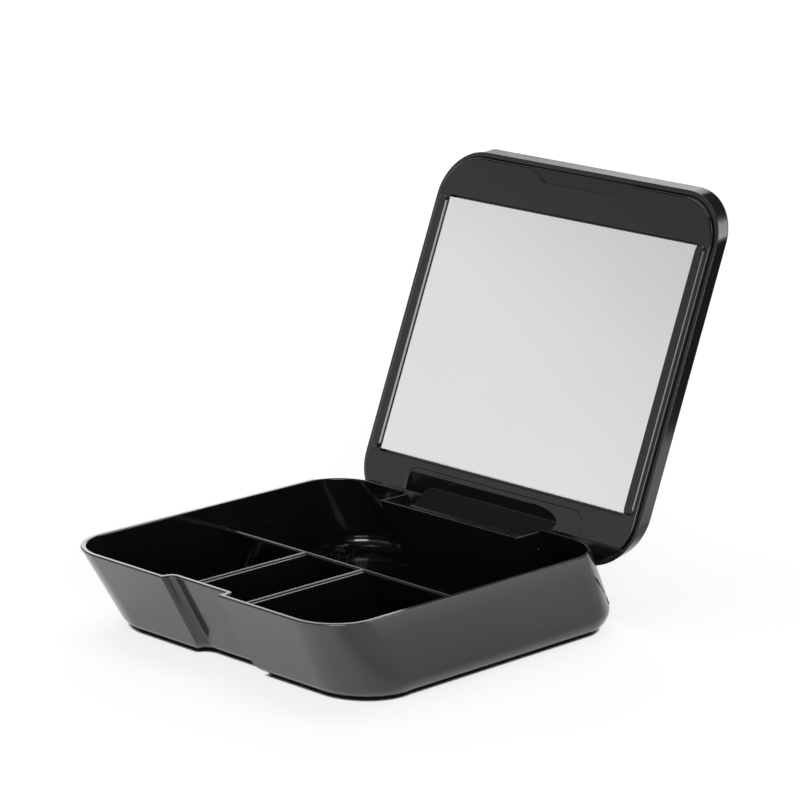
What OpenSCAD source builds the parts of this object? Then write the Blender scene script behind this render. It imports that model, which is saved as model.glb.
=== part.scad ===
// Square vanity box: a leaning tray with moulded compartments and a hinged lid that holds a mirror.
// Millimetres. X runs across the front, Y runs back, Z is up, the origin is under the tray's foot.
// The lid is drawn closed and then turned back to its open rest position.

/* [Tray outline] */

// Width of the rim from side to side
case_w = 180; // [150:1:210]
// Depth of the rim from front to back
case_d = 182.6; // [155:0.2:215]
// Height of the rim above the ground
tray_h = 41.8; // [36:0.2:50]
// Corner radius of the rim, seen from above
rim_r = 25; // [18:0.5:32]
// How much narrower the foot outline is than the rim, from side to side
foot_in_x = 2; // [0:0.2:6]
// How much shorter the foot outline is than the rim, front to back
foot_in_y = 2.6; // [0:0.2:6]
// Corner radius of the foot outline
foot_r = 30; // [20:0.5:36]
// How far the rim is set forward of the foot
lean = 22.9; // [10:0.1:26]
// Rounding between the walls and the underside
edge_r = 8; // [5:0.5:8.5]

/* [Tray walls] */

// Wall thickness at the rim
wall_t = 2.7; // [2.2:0.1:3]
// Floor thickness
floor_t = 2.5; // [2:0.1:3.5]
// Height of the raised base under the floor
base_h = 0.9; // [0.6:0.1:1.5]
// Distance of the raised base from the foot outline
base_in = 15; // [15:0.5:26]

/* [Compartments] */

// Drop from the rim to the top of the dividers
rib_drop = 10.6; // [8:0.2:14]
// Divider thickness
rib_t = 2.6; // [1.6:0.1:3.2]
// Distance from the front of the rim to the top of the long divider
rib_y = 99.1; // [85:0.1:110]
// Position across the tray of the left short divider
rib_left_x = -28.4; // [-40:0.1:-22]
// Position across the tray of the right short divider
rib_right_x = 9.4; // [0:0.1:30]

/* [Finger recess] */

// Width of the recess in the front wall
recess_w = 36.3; // [30:0.1:42]
// Position of the middle of the recess across the tray
recess_x = -0.85; // [-2:0.05:2]
// Depth of the recess
recess_t = 5.6; // [4:0.1:7]
// Angle that the left end of the recess slopes by
recess_turn = 14; // [6:1:30]
// Radius of the soft left corner of the recess
recess_r = 3; // [1:0.5:4]

/* [Hinge niche] */

// Width of the niche in the back wall
niche_w = 85.4; // [78:0.2:92]
// Thickness of the niche walls
niche_t = 2; // [1.8:0.1:2.6]
// Depth of the niche at the rim, measured from the back of the rim
niche_d = 16.9; // [16.3:0.1:20]
// Drop from the rim to the top of the niche walls
niche_drop = 1.1; // [1:0.1:2]
// Depth of the shallow panel sunk into the back wall, at the rim
panel_t = 1.1; // [0.6:0.1:1.6]
// Distance from the back of the rim to where the shallow panel starts on the sides
panel_side = 18.5; // [12:0.5:24]
// Drop from the rim to where the side ends of the panel turn back
panel_turn = 11; // [6:0.5:12]
// Drop from the rim to the lower end of the shallow panel
panel_drop = 24; // [14:0.5:30]

/* [Hinge] */

// Distance of the hinge axis below the rim
axis_drop = 10.8; // [10.2:0.1:12]
// Distance of the hinge axis in front of the back of the rim
axis_in = 1; // [0.6:0.1:2]
// Diameter of the hinge pins
pin_d = 2.5; // [2:0.1:3]
// Length of a hinge pin
pin_len = 14.6; // [10:0.2:20]
// Radial clearance of the pins in the barrel
pin_gap = 0.05; // [0.02:0.01:0.09]
// Radius of the hinge barrel
barrel_r = 4.9; // [4:0.1:5.2]
// Side clearance between the barrel and the niche
barrel_gap = 0.3; // [0.2:0.05:0.6]
// Angle that the lid is opened by
open_angle = 111.3; // [90:0.1:111.4]

/* [Lid shell] */

// Gap between the closed lid and the rim
seam = 0.2; // [0.1:0.05:0.5]
// Height of the lid shell above the seam
lid_t = 7.4; // [6.6:0.1:10]
// How far the lid is set in from the case outline
lid_in = 0.4; // [0.2:0.05:1]
// Rounding of the lid's outer edge
lid_edge = 1.2; // [0.8:0.1:2]
// Lid wall thickness
lid_wall = 2.2; // [1.8:0.1:2.4]
// How much the inside of the lid wall draws in towards the top
lid_draft = 0.3; // [0.2:0.05:0.6]
// Diameter of the bosses inside the lid
boss_d = 8; // [6:0.5:10]

/* [Lid liner] */

// How far the liner is set in from the case outline
liner_in = 2.9; // [2.9:0.1:3.6]
// How far the liner stands below the seam
liner_drop = 1.8; // [1.4:0.1:2.2]
// Rounding of the liner's lower edge
liner_edge = 0.6; // [0.4:0.1:1.4]
// Gap between the liner and the wall of the finger recess
relief_gap = 0.5; // [0.3:0.1:1]
// Length of each sloping end of the relief that clears the finger recess
relief_run = 17; // [8:1:24]
// Distance from the back of the case to the back edge of the liner
liner_back = 11.5; // [10.5:0.1:13]
// Thickness of the liner behind the mirror
web_t = 1.5; // [1.2:0.1:2]
// Width of the pocket round the hinge arm
pocket_w = 114; // [106:1:120]
// Distance from the back edge of the liner to the front of the pocket
pocket_d = 12; // [10:0.2:13]
// Depth of the pocket above the seam
pocket_up = 0.6; // [0.5:0.1:1]
// Corner radius of the pocket
pocket_r = 6; // [4:0.5:8]
// Distance from the back edge of the liner forward to the ridge of the arm
ridge_d = 3.1; // [2.6:0.1:3.6]
// Length of the sloping top of the arm in front of the ridge
ridge_len = 6.1; // [5:0.1:7]
// Thickness of the hinge arm
arm_t = 3; // [2.4:0.1:3.6]

/* [Mirror] */

// Distance from each side of the case to the mirror glass
mirror_side = 10.75; // [10.75:0.25:20]
// Distance from the back of the case to the rear edge of the mirror
mirror_rear = 28; // [26:0.1:40]
// Distance from the front of the case to the front edge of the mirror
mirror_front = 25.3; // [22:0.1:32]
// Thickness of the mirror glass
glass_t = 2; // [1.6:0.1:2.4]
// Thickness of the mounting pad behind the glass
pad_t = 0.8; // [0.6:0.1:1]
// Distance of the mounting pad from the edges of the glass
pad_in = 4; // [2:0.5:10]
// How far the mirror surface lies behind the face of the liner
mirror_sink = 0.2; // [0.1:0.05:0.4]
// Open groove round the mirror glass
groove = 1.1; // [0.6:0.1:1.4]
// Gap between the mirror glass and a strip
strip_gap = 0.2; // [0.1:0.05:0.4]
// Width of the strips beside the mirror
strip_w = 6.2; // [4.5:0.1:6.4]
// How much longer than the mirror glass a strip is
strip_more = 1; // [0:0.1:2]
// How far the strips stand out from the liner face
strip_out = 1.25; // [0.8:0.05:1.6]
// Depth of the seat of the strips in the liner
strip_seat = 1; // [0.6:0.1:1.4]
// Rounding of the strips
strip_edge = 0.9; // [0.5:0.1:1.1]

/* [Hidden] */

black = [0.05, 0.05, 0.055];
dark = [0.09, 0.09, 0.1];
steel = [0.7, 0.7, 0.72];
silver = [0.86, 0.87, 0.87];
white = [0.92, 0.92, 0.9];

// Points on each quarter turn of a lofted outline, and steps of a rounding
arc_n = 12;
round_n = 6;
// Overshoot of a cutting solid, and a hair's breadth
eps = 1;
hair = 0.01;

// Foot outline, drawn at the underside of the body
foot_w = case_w - foot_in_x;
foot_d = case_d - foot_in_y;
body_h = tray_h - base_h;
slope = lean / body_h;
slope_len = sqrt(1 + slope * slope);
rim_y = -lean;
rim_front = rim_y - case_d / 2;
rim_back = rim_y + case_d / 2;
floor_z = base_h + floor_t;

// Hinge axis
axis_y = rim_back - axis_in;
axis_z = tray_h - axis_drop;
niche_half = niche_w / 2;
barrel_half = niche_half - barrel_gap;
pin_out = niche_half + niche_t;
pin_in = pin_out - pin_len;
// A bore is this much deeper than its pin
bore_more = 0.5;
bore_in = pin_in - bore_more;
// Where the faces of the arm leave the barrel, in degrees above the level
arm_low = 30;
arm_high = 75;

// Levels of the closed lid
seam_z = tray_h + seam;
lid_top = seam_z + lid_t;
liner_z = seam_z - liner_drop;
mirror_z = liner_z + mirror_sink;
pad_z = mirror_z + glass_t;
web_z = pad_z + pad_t;
liner_top = web_z + web_t;
strip_z = liner_z - strip_out;
strip_top = liner_z + strip_seat;
pocket_z = seam_z + pocket_up;

// Side ends of the shallow panel, at the rim and where they turn back
panel_y = rim_back - panel_side;
panel_turn_y = panel_y + slope * panel_turn;

// Plan of the closed lid
liner_rear = rim_back - liner_back;
ridge_y = liner_rear - ridge_d;
mirror_w = case_w - 2 * mirror_side;
mirror_l = case_d - mirror_front - mirror_rear;
mirror_y = rim_front + mirror_front + mirror_l / 2;
strip_x = mirror_w / 2 + strip_gap + strip_w / 2;
strip_l = mirror_l + strip_more;
boss_x = case_w / 3;
boss_y = case_d / 3;

// Centre and size of a body level
function level_y(z) = -slope * (z - base_h);
function level_w(z) = foot_w + foot_in_x * (z - base_h) / body_h;
function level_d(z) = foot_d + foot_in_y * (z - base_h) / body_h;
function level_r(z) = foot_r + (rim_r - foot_r) * (z - base_h) / body_h;

// One corner-rounded ring at height z, made smaller on every side by inset
function outline(w, d, r, cy, inset, z) =
    [for (q = [0:3], i = [0:arc_n])
        let (a = 90 * q + 90 * i / arc_n,
            sx = (q == 0 || q == 3) ? 1 : -1,
            sy = (q == 0 || q == 1) ? 1 : -1)
        [sx * (w / 2 - r) + (r - inset) * cos(a), cy + sy * (d / 2 - r) + (r - inset) * sin(a), z]];

// The same ring of the leaning tray body
function body_ring(z, inset) = outline(level_w(z), level_d(z), level_r(z), level_y(z), inset, z);

// A ball of radius r rolled into the foot of a leaning wall leaves this inset at height u above it
function ball_inset(n, r, u) =
    let (m = slope * n, q = sqrt(1 + m * m))
    m * u - (m * r - r * q) - sqrt(max(0, r * r - (r - u) * (r - u)));

// Ring inside a ball-rounded foot at fraction b of the rounding height, first level at z0
function foot_ring(z0, inset, r, b) =
    [for (q = [0:3], i = [0:arc_n])
        let (a = 90 * q + 90 * i / arc_n,
            n = -sin(a),
            m = slope * n,
            u = r * (1 - m / sqrt(1 + m * m)) * b,
            z = z0 + u,
            e = ball_inset(n, r, u),
            k = inset + e,
            da = -(slope * u - slope * r + r * m * slope / sqrt(1 + m * m)) * cos(a),
            sx = (q == 0 || q == 3) ? 1 : -1,
            sy = (q == 0 || q == 1) ? 1 : -1)
        [sx * (level_w(z) / 2 - level_r(z)) + (level_r(z) - k) * cos(a) + da * sin(a),
            level_y(z) + sy * (level_d(z) / 2 - level_r(z)) + (level_r(z) - k) * sin(a) - da * cos(a),
            z]];

// Skin through a stack of rings with the same number of points
module loft(rings) {
    n = len(rings[0]);
    last = len(rings) - 1;
    polyhedron(
        points = [for (ring = rings, p = ring) p],
        faces = concat(
            [[for (i = [0:n - 1]) i]],
            [for (k = [0:last - 1], i = [0:n - 1])
                let (j = (i + 1) % n)
                [k * n + i, (k + 1) * n + i, (k + 1) * n + j]],
            [for (k = [0:last - 1], i = [0:n - 1])
                let (j = (i + 1) % n)
                [k * n + i, (k + 1) * n + j, k * n + j]],
            [[for (i = [n - 1:-1:0]) last * n + i]]));
}

// Column over a plan drawn at the rim that leans with the walls between two heights
module leaning(plan, z0, z1) {
    loft([[for (p = plan) [p[0], p[1] + slope * (tray_h - z0), z0]],
        [for (p = plan) [p[0], p[1] + slope * (tray_h - z1), z1]]]);
}

// Rectangle given by its corners, as a plan
function plan_box(x0, y0, x1, y1) = [[x0, y0], [x1, y0], [x1, y1], [x0, y1]];

// Upright rounded rectangle round a centre on the Y axis
module slab(w, d, r, cy, z0, z1) {
    translate([0, cy, z0])
        linear_extrude(z1 - z0)
            union() {
                square([w - 2 * r, d], center = true);
                square([w, d - 2 * r], center = true);
                for (sx = [-1, 1], sy = [-1, 1])
                    translate([sx * (w / 2 - r), sy * (d / 2 - r)])
                        circle(r, $fn = 64);
            }
}

// Outer skin of the tray body
module tray_skin() {
    loft(concat([for (i = [0:round_n]) foot_ring(base_h, 0, edge_r, pow(i / round_n, 2))],
        [body_ring(tray_h, 0)]));
}

// Space inside the tray walls
module tray_hollow() {
    inner_r = edge_r - floor_t;
    loft(concat([for (i = [0:round_n]) foot_ring(floor_z, wall_t, inner_r, pow(i / round_n, 2))],
        [body_ring(tray_h + eps, wall_t)]));
}

// Plan of the finger recess, grown by a wall thickness
module recess(grow, z0, z1) {
    x0 = recess_x - recess_w / 2;
    x1 = recess_x + recess_w / 2 + grow;
    out = 3 * eps;
    y0 = rim_front - out;
    y1 = rim_front + recess_t;
    left = x0 - out * tan(recess_turn) - grow / cos(recess_turn);
    cx = x0 + recess_t * tan(recess_turn) + recess_r * tan(45 - recess_turn / 2);
    leaning(concat([[left, y0], [x1, y0], [x1, y1 + grow]],
        [for (i = [0:round_n])
            let (a = 90 - (90 - recess_turn) * i / round_n)
            [cx - (recess_r + grow) * cos(a), y1 - recess_r + (recess_r + grow) * sin(a)]]), z0, z1);
}

// Plan of the hinge niche, grown by a wall thickness
module niche(grow, z0, z1) {
    half = niche_half + grow;
    leaning(plan_box(-half, rim_back - niche_d - grow, half, rim_back + 3 * eps), z0, z1);
}

// The dividers, cut to the outline of the tray
module ribs() {
    top = tray_h - rib_drop;
    y = rim_front + rib_y - slope * rib_drop;
    intersection() {
        union() {
            leaning(plan_box(-case_w / 2, y - rib_t / 2, case_w / 2, y + rib_t / 2), base_h + eps, top);
            for (x = [rib_left_x, rib_right_x])
                leaning(plan_box(x - rib_t / 2, rim_front - eps, x + rib_t / 2, y), base_h + eps, top);
        }
        tray_skin();
    }
}

// What is sunk into the back wall below the rim, and round the rear corners
module back_panel() {
    z0 = tray_h - panel_drop;
    difference() {
        translate([-case_w / 2 - eps, 0, 0])
            rotate([90, 0, 90])
                linear_extrude(case_w + 2 * eps)
                    polygon([[panel_y - slope * eps, tray_h + eps], [panel_turn_y, tray_h - panel_turn],
                        [panel_turn_y + panel_drop - panel_turn, z0], [case_d, z0], [case_d, tray_h + eps]]);
        loft([body_ring(z0 - eps, -panel_t * eps / panel_drop),
            body_ring(tray_h + 2 * eps, panel_t * (1 + 2 * eps / panel_drop))]);
    }
}

// Raised flat base that the tray stands on
module raised_base() {
    slab(foot_w - 2 * base_in, foot_d - 2 * base_in, foot_r - base_in, 0, 0, base_h + floor_t / 2);
}

// Everything on the hinge axis is drawn along X from x0 to x1
module on_axis(r, x0, x1) {
    translate([x0, axis_y, axis_z])
        rotate([0, 90, 0])
            cylinder(h = x1 - x0, r = r, $fn = 48);
}

module tray() {
    color(black)
        difference() {
            union() {
                difference() {
                    tray_skin();
                    difference() {
                        tray_hollow();
                        recess(wall_t, 0, tray_h + 2 * eps);
                        niche(niche_t, 0, tray_h + 2 * eps);
                    }
                }
                ribs();
                raised_base();
            }
            recess(0, -eps, tray_h + eps);
            niche(0, floor_z, tray_h + eps);
            translate([-niche_half - niche_t, rim_back - niche_d - niche_t - eps, tray_h - niche_drop])
                cube([niche_w + 2 * niche_t, niche_d + niche_t + 4 * eps, 2 * eps + niche_drop]);
            back_panel();
            on_axis(pin_d / 2, -pin_out - eps, -niche_half + eps);
            on_axis(pin_d / 2, niche_half - eps, pin_out + eps);
        }
}

module hinge_pin_left() {
    color(steel)
        on_axis(pin_d / 2, -pin_out, -pin_in);
}

module hinge_pin_right() {
    color(steel)
        on_axis(pin_d / 2, pin_in, pin_out);
}

// Turns a piece of the closed lid to the open rest position
module lid_pose() {
    translate([0, axis_y, axis_z])
        rotate([-open_angle, 0, 0])
            translate([0, -axis_y, -axis_z])
                children();
}

// Ring of the closed lid, leaning on with the tray walls
function lid_ring(z, inset) = outline(case_w, case_d, rim_r, rim_y + slope * (seam_z - z), inset, z);

module lid_shell() {
    inner_z = lid_top - lid_wall;
    color(dark)
        lid_pose()
            union() {
                loft(concat([lid_ring(inner_z, lid_in + lid_wall + lid_draft),
                    lid_ring(seam_z, lid_in + lid_wall),
                    lid_ring(seam_z, lid_in)],
                    [for (i = [0:round_n])
                        let (t = 90 * i / round_n,
                            drawn = lid_in / 2 + lid_edge * (1 - cos(t)))
                        lid_ring(lid_top - lid_edge * (1 - sin(t)), lid_in + drawn)]));
                for (sx = [-1, 1], sy = [-1, 1])
                    translate([sx * boss_x, rim_y + sy * boss_y, liner_top])
                        cylinder(h = inner_z - liner_top + lid_wall / 2, d = boss_d, $fn = 12);
            }
}

// Strip outline with round ends, grown sideways, between two heights and rounded below
module strip_block(grow, z0, z1, edge) {
    w = strip_w + 2 * grow;
    l = strip_l + 2 * grow;
    rings = [for (i = [0:round_n])
        let (t = 90 * i / round_n)
        outline(w, l, w / 2 - hair, mirror_y, edge * (1 - sin(t)), z0 + edge * (1 - cos(t)))];
    loft(concat(rings, [outline(w, l, w / 2 - hair, mirror_y, 0, z1)]));
}

module hinge_arm() {
    q = [axis_y - barrel_r * cos(arm_low), axis_z + barrel_r * sin(arm_low)];
    t = [axis_y + barrel_r * cos(arm_high), axis_z + barrel_r * sin(arm_high)];
    root = liner_rear + arm_t / 4;
    translate([-barrel_half, 0, 0])
        rotate([90, 0, 90])
            linear_extrude(2 * barrel_half)
                polygon([[ridge_y - ridge_len, pocket_z], [ridge_y, mirror_z], q, [axis_y, axis_z], t,
                    [root, liner_top], [ridge_y - ridge_len, liner_top]]);
    on_axis(barrel_r, -barrel_half, barrel_half);
}

// Relief in the front of the liner that clears the wall of the finger recess
module recess_relief() {
    grow = wall_t + relief_gap;
    x0 = recess_x - recess_w / 2 - grow;
    x1 = recess_x + recess_w / 2 + grow;
    y1 = rim_front + recess_t + grow + slope * (seam_z - liner_z);
    translate([0, 0, liner_z - eps])
        linear_extrude(seam_z - liner_z + eps)
            polygon([[x0 - relief_run, rim_front], [x1 + relief_run, rim_front], [x1, y1], [x0, y1]]);
}

module lid_liner() {
    well_w = mirror_w + 2 * strip_gap;
    well_l = mirror_l + 2 * groove;
    color(black)
        lid_pose()
            difference() {
                union() {
                    difference() {
                        intersection() {
                            loft(concat([for (i = [0:round_n])
                                let (t = 90 * i / round_n,
                                    drawn = liner_edge * (1 - sin(t)))
                                lid_ring(liner_z + liner_edge * (1 - cos(t)), liner_in + drawn)],
                                [lid_ring(liner_top, liner_in)]));
                            translate([-case_w / 2, liner_rear - 2 * case_d, liner_z - eps])
                                cube([case_w, 2 * case_d, lid_t]);
                        }
                        translate([-well_w / 2, mirror_y - well_l / 2, liner_z - eps])
                            cube([well_w, well_l, web_z - liner_z + eps]);
                        for (sx = [-1, 1])
                            translate([sx * strip_x, 0, 0])
                                strip_block(0, liner_z - eps, strip_top, hair);
                        slab(pocket_w, 2 * pocket_d, pocket_r, liner_rear, liner_z - eps, pocket_z);
                        recess_relief();
                    }
                    hinge_arm();
                }
                on_axis(pin_d / 2 + pin_gap, -barrel_half - eps, -bore_in);
                on_axis(pin_d / 2 + pin_gap, bore_in, barrel_half + eps);
            }
}

module mirror_glass() {
    color(silver)
        lid_pose()
            translate([-mirror_w / 2, mirror_y - mirror_l / 2, mirror_z])
                cube([mirror_w, mirror_l, glass_t]);
}

module mirror_pad() {
    color(white)
        lid_pose()
            translate([-mirror_w / 2 + pad_in, mirror_y - mirror_l / 2 + pad_in, pad_z])
                cube([mirror_w - 2 * pad_in, mirror_l - 2 * pad_in, pad_t]);
}

module mirror_strip_left() {
    color(black)
        lid_pose()
            translate([-strip_x, 0, 0])
                strip_block(0, strip_z, strip_top, strip_edge);
}

module mirror_strip_right() {
    color(black)
        lid_pose()
            translate([strip_x, 0, 0])
                strip_block(0, strip_z, strip_top, strip_edge);
}

tray();
hinge_pin_left();
hinge_pin_right();
lid_shell();
lid_liner();
mirror_glass();
mirror_pad();
mirror_strip_left();
mirror_strip_right();
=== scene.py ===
"""Looks of a square vanity box: a leaning tray with compartments and a hinged lid that holds a mirror.

Sizes are in millimetres, and turned to metres when a mesh is made. Lamps, card and camera stand in metres.
X runs across the front, Y runs back, Z is up.
The lid's pieces are drawn closed and then turned back to the open rest position.
"""

import math

import bmesh
import bpy
import numpy as np
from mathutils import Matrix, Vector


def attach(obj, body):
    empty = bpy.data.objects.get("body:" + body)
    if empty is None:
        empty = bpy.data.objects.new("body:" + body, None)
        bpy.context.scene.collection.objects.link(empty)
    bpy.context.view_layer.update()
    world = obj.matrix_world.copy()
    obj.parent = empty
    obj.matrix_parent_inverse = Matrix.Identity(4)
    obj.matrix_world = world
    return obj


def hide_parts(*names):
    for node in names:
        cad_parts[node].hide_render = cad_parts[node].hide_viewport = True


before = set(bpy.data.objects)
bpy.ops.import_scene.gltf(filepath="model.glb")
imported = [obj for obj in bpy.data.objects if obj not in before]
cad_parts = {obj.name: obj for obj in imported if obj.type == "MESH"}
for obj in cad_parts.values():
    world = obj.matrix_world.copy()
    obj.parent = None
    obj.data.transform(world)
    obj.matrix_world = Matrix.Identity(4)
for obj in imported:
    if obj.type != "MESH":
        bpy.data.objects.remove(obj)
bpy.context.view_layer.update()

MM = 0.001

# Tray. Its rim lies further forward than its foot by LEAN
CASE_W, CASE_D, TRAY_H = 180.0, 182.6, 41.8
RIM_R, FOOT_R = 25.0, 30.0
FOOT_IN_X, FOOT_IN_Y = 2.0, 2.6
LEAN = 22.9
EDGE_R, RIM_ROUND = 8.0, 0.6
WALL_T, FLOOR_T = 2.7, 2.5
BASE_H, BASE_IN, BASE_EASE = 0.9, 15.0, 0.3

# Dividers. The top of each falls to one side by its tilt, in degrees
RIB_DROP, RIB_T, RIB_Y = 10.6, 2.6, 99.1
RIB_LEFT_X, RIB_RIGHT_X = -28.4, 9.4
RIB_ROUND, RIB_DRAFT, RIB_END = 1.0, 0.2, 0.5
LONG_TILT, SHORT_TILT = 17.0, 15.0

# What stands in the tray is cut to a core that lies BURIED inside the outer face and ends CORE_DROP below
# the rim. Its foot starts FOOT_UP above the core's floor
BURIED, FOOT_UP = 1.2, 0.3
CORE_DROP, CORE_TIGHT = 0.6, 0.6

# Finger recess: its ends, its depth, the run and rise of its sloping left shoulder, the radii of its corners
# and edges, and how far beside it the front's own points lie
RECESS_X0, RECESS_X1, RECESS_T = -19.0, 17.3, 5.6
RECESS_SHOULDER = (1.0, 4.0)
RECESS_SOFT, RECESS_TIGHT = 3.0, 0.5
RECESS_EDGE, RECESS_EDGE_IN = 0.35, 1.0
RECESS_GUARD = 4.0

# Hinge niche, and the back panel that is sunk a little
NICHE_W, NICHE_T, NICHE_D, NICHE_DROP = 85.4, 2.0, 16.9, 1.65
PANEL_T, PANEL_SIDE, PANEL_TURN, PANEL_DROP = 1.1, 18.5, 11.0, 24.0

# Hinge
AXIS_DROP, AXIS_IN = 10.8, 1.0
PIN_D, PIN_LEN, PIN_GAP, PIN_CHAMFER, PIN_END_GAP = 2.5, 14.6, 0.05, 0.2, 0.5
BARREL_R, BARREL_GAP = 4.9, 0.3
OPEN_ANGLE = 111.3

# Lid
SEAM, LID_T, LID_IN, LID_EDGE, LID_WALL, LID_DRAFT = 0.2, 7.4, 0.4, 1.2, 2.2, 0.3
LID_LIP = 0.22
BOSS_D = 8.0
LINER_IN, LINER_DROP, LINER_EDGE, LINER_BACK, WEB_T = 2.9, 1.8, 0.6, 11.5, 1.5
RELIEF_GAP, RELIEF_RUN = 0.5, 17.0

# Pocket at the hinge end of the lining: a faint outline, the scoop in it, and the arm from its ridge
POCKET_W, POCKET_D, POCKET_UP, POCKET_R, POCKET_LIP = 114.0, 12.0, 0.6, 6.0, 0.12
SCOOP_X0, SCOOP_X1, SCOOP_Y, SCOOP_PAST = -56.0, 42.0, 47.2, 3.0
SCOOP_RUN, SCOOP_R, SCOOP_TIGHT = 18.0, 6.0, 3.0
RIDGE_D, RIDGE_LEN, ARM_T = 3.1, 0.8, 3.0
ARM_ROOT, ARM_HEEL = 30, 75

# Mirror. A seamed edge is as wide as SEAMED says, by the side of the plate
MIRROR_W, MIRROR_L, MIRROR_FRONT = 158.5, 129.3, 25.3
GLASS_T, PAD_T, MIRROR_SINK, GROOVE = 2.0, 0.8, 0.2, 1.1
SEAMED = {"left": 0.55, "right": 0.15, "front": 0.2, "rear": 0.55}
SEAM_UP = 0.25
PAD_IN, PAD_R = 4.0, 2.0
WELL_R = 1.0

# Strips beside the mirror. Their edge is eased in (up, inwards) steps, as shares of STRIP_EDGE
STRIP_W, STRIP_OUT, STRIP_SEAT, STRIP_EDGE = 6.2, 1.25, 1.0, 0.9
STRIP_GAP, STRIP_LONGER = 0.2, 1.0
STRIP_EASE = ((0.0, 0.96), (0.04, 0.8256), (0.12, 0.7008), (0.86, 0.0672), (1.0, 0.0))

# Widths of the softened edges, the angle from which an edge is softened, the angle from which it is shaded
# sharply, and how far a cut runs past what it cuts
TRAY_SOFT, LINER_SOFT, SOFT_STEPS = 0.28, 0.25, 2
HARD_EDGE, SHARP_SHADE = math.radians(32), math.radians(40)
PAST = 1.0

# Degrees that the tray's rounded edges are rolled through: just over a right angle and the lean of the walls
ROLL_END = 119.5
ROLL_STEPS, RIM_STEPS, EDGE_STEPS = 25, 11, 7

# Steps in a rounded corner, in that of a small column, and round a bar and a boss
ARC, COLUMN_ARC, STRIP_ARC, BAR_STEPS, BOSS_STEPS = 40, 12, 24, 96, 48

# Floor and black card, in millimetres
FLOOR_HALF, FLOOR_DEEP = 6000, 20
CARD_LOW, CARD_HIGH = (-600, -2, 20), (600, 2, 165)

# Floor shading, with a painted contact shadow: how far it reaches in metres, the openness it runs between,
# the darkest and lightest painted paper as seen and as mirrored, and the glow of what is seen
CONTACT_REACH, CONTACT_OPEN = 0.0022, (0.5, 0.78)
SEEN_SHADE, MIRRORED_SHADE, SEEN_GLOW = (0.02, 0.33), (0.05, 0.7), 0.77
PAPER_WHITE, BACKDROP_WHITE = 0.95, 0.95

# Glow of the mirrored floor from the object's right side outwards, as (place, level) pairs. Its dip beside
# the right side is painted shade, seen in the gloss of the tray's right wall
RIGHT_SIDE, RIGHT_FAR = 0.08, 0.2
FLOOR_GLOW = ((0.02, 0.62), (0.2, 0.1), (0.6, 0.2), (1.0, 0.95))

# Studio before and behind the object by height, as (place, level) pairs, and how wide they blend
FRONT_SKY = ((0.0, 1.0), (0.26, 0.83), (0.33, 0.78), (0.42, 0.55), (0.6, 0.1), (1.0, 0.1))
BACK_SKY = ((0.0, 1.0), (0.1, 0.95), (0.2, 0.5), (0.45, 0.5), (0.65, 0.1), (1.0, 0.1))
SKY_BLEND = 0.3

# The studio is dimmer away from its low left side, and the lamps look at a point this high, in metres
DIM_FROM, DIM_TO, DIM_LEVEL = -0.34, -0.25, 0.88
AIM_Z = 0.07

# Levels and centres that follow
BODY_H = TRAY_H - BASE_H
SLOPE = LEAN / BODY_H
FOOT_W, FOOT_D = CASE_W - FOOT_IN_X, CASE_D - FOOT_IN_Y
RIM_Y = -LEAN
RIM_FRONT, RIM_BACK = RIM_Y - CASE_D / 2, RIM_Y + CASE_D / 2
FLOOR_Z = BASE_H + FLOOR_T
RIB_TOP, RIB_FOOT = TRAY_H - RIB_DROP, BASE_H + BURIED + FOOT_UP
RIB_MID = RIM_FRONT + RIB_Y
AXIS_Y, AXIS_Z = RIM_BACK - AXIS_IN, TRAY_H - AXIS_DROP
NICHE_HALF = NICHE_W / 2
NICHE_TOP, NICHE_FRONT = TRAY_H - NICHE_DROP, RIM_BACK - NICHE_D
BARREL_HALF = NICHE_HALF - BARREL_GAP
PIN_OUT = NICHE_HALF + NICHE_T
PIN_IN = PIN_OUT - PIN_LEN
PANEL_Z = TRAY_H - PANEL_DROP
SEAM_Z = TRAY_H + SEAM
LID_TOP = SEAM_Z + LID_T
CEILING = LID_TOP - LID_WALL
LINER_Z = SEAM_Z - LINER_DROP
MIRROR_Z = LINER_Z + MIRROR_SINK
PAD_Z = MIRROR_Z + GLASS_T
WEB_Z = PAD_Z + PAD_T
LINER_TOP = WEB_Z + WEB_T
STRIP_Z = LINER_Z - STRIP_OUT
STRIP_TOP = LINER_Z + STRIP_SEAT
POCKET_Z = SEAM_Z + POCKET_UP
LINER_REAR = RIM_BACK - LINER_BACK
RIDGE_Y = LINER_REAR - RIDGE_D
MIRROR_Y = RIM_FRONT + MIRROR_FRONT + MIRROR_L / 2
STRIP_X = MIRROR_W / 2 + STRIP_GAP + STRIP_W / 2
STRIP_L, STRIP_END_R = MIRROR_L + STRIP_LONGER, STRIP_W / 2 - 0.01


# Meshes

def make(name, verts, faces):
    """A mesh object from points in millimetres."""
    mesh = bpy.data.meshes.new(name)
    mesh.from_pydata((np.asarray(verts, dtype=float) * MM).tolist(), [], faces)
    mesh.validate()
    obj = bpy.data.objects.new(name, mesh)
    bpy.context.scene.collection.objects.link(obj)
    return obj


def loft(name, rings):
    """Skin through rings with the same number of points, capped at both ends."""
    n = len(rings[0])
    faces = []
    for k in range(len(rings) - 1):
        a, b = k * n, (k + 1) * n
        faces += [(a + i, a + (i + 1) % n, b + (i + 1) % n, b + i) for i in range(n)]
    faces.append(tuple(range(n - 1, -1, -1)))
    last = (len(rings) - 1) * n
    faces.append(tuple(last + i for i in range(n)))
    return make(name, np.concatenate(rings), faces)


def upright(name, plan, z0, z1):
    """Column over a plan of (x, y) points."""
    return loft(name, [np.array([(x, y, z) for x, y in plan]) for z in (z0, z1)])


def oblong(x0, x1, y0, y1):
    return [(x0, y0), (x1, y0), (x1, y1), (x0, y1)]


def box(name, lo, hi):
    return upright(name, oblong(lo[0], hi[0], lo[1], hi[1]), lo[2], hi[2])


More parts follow.
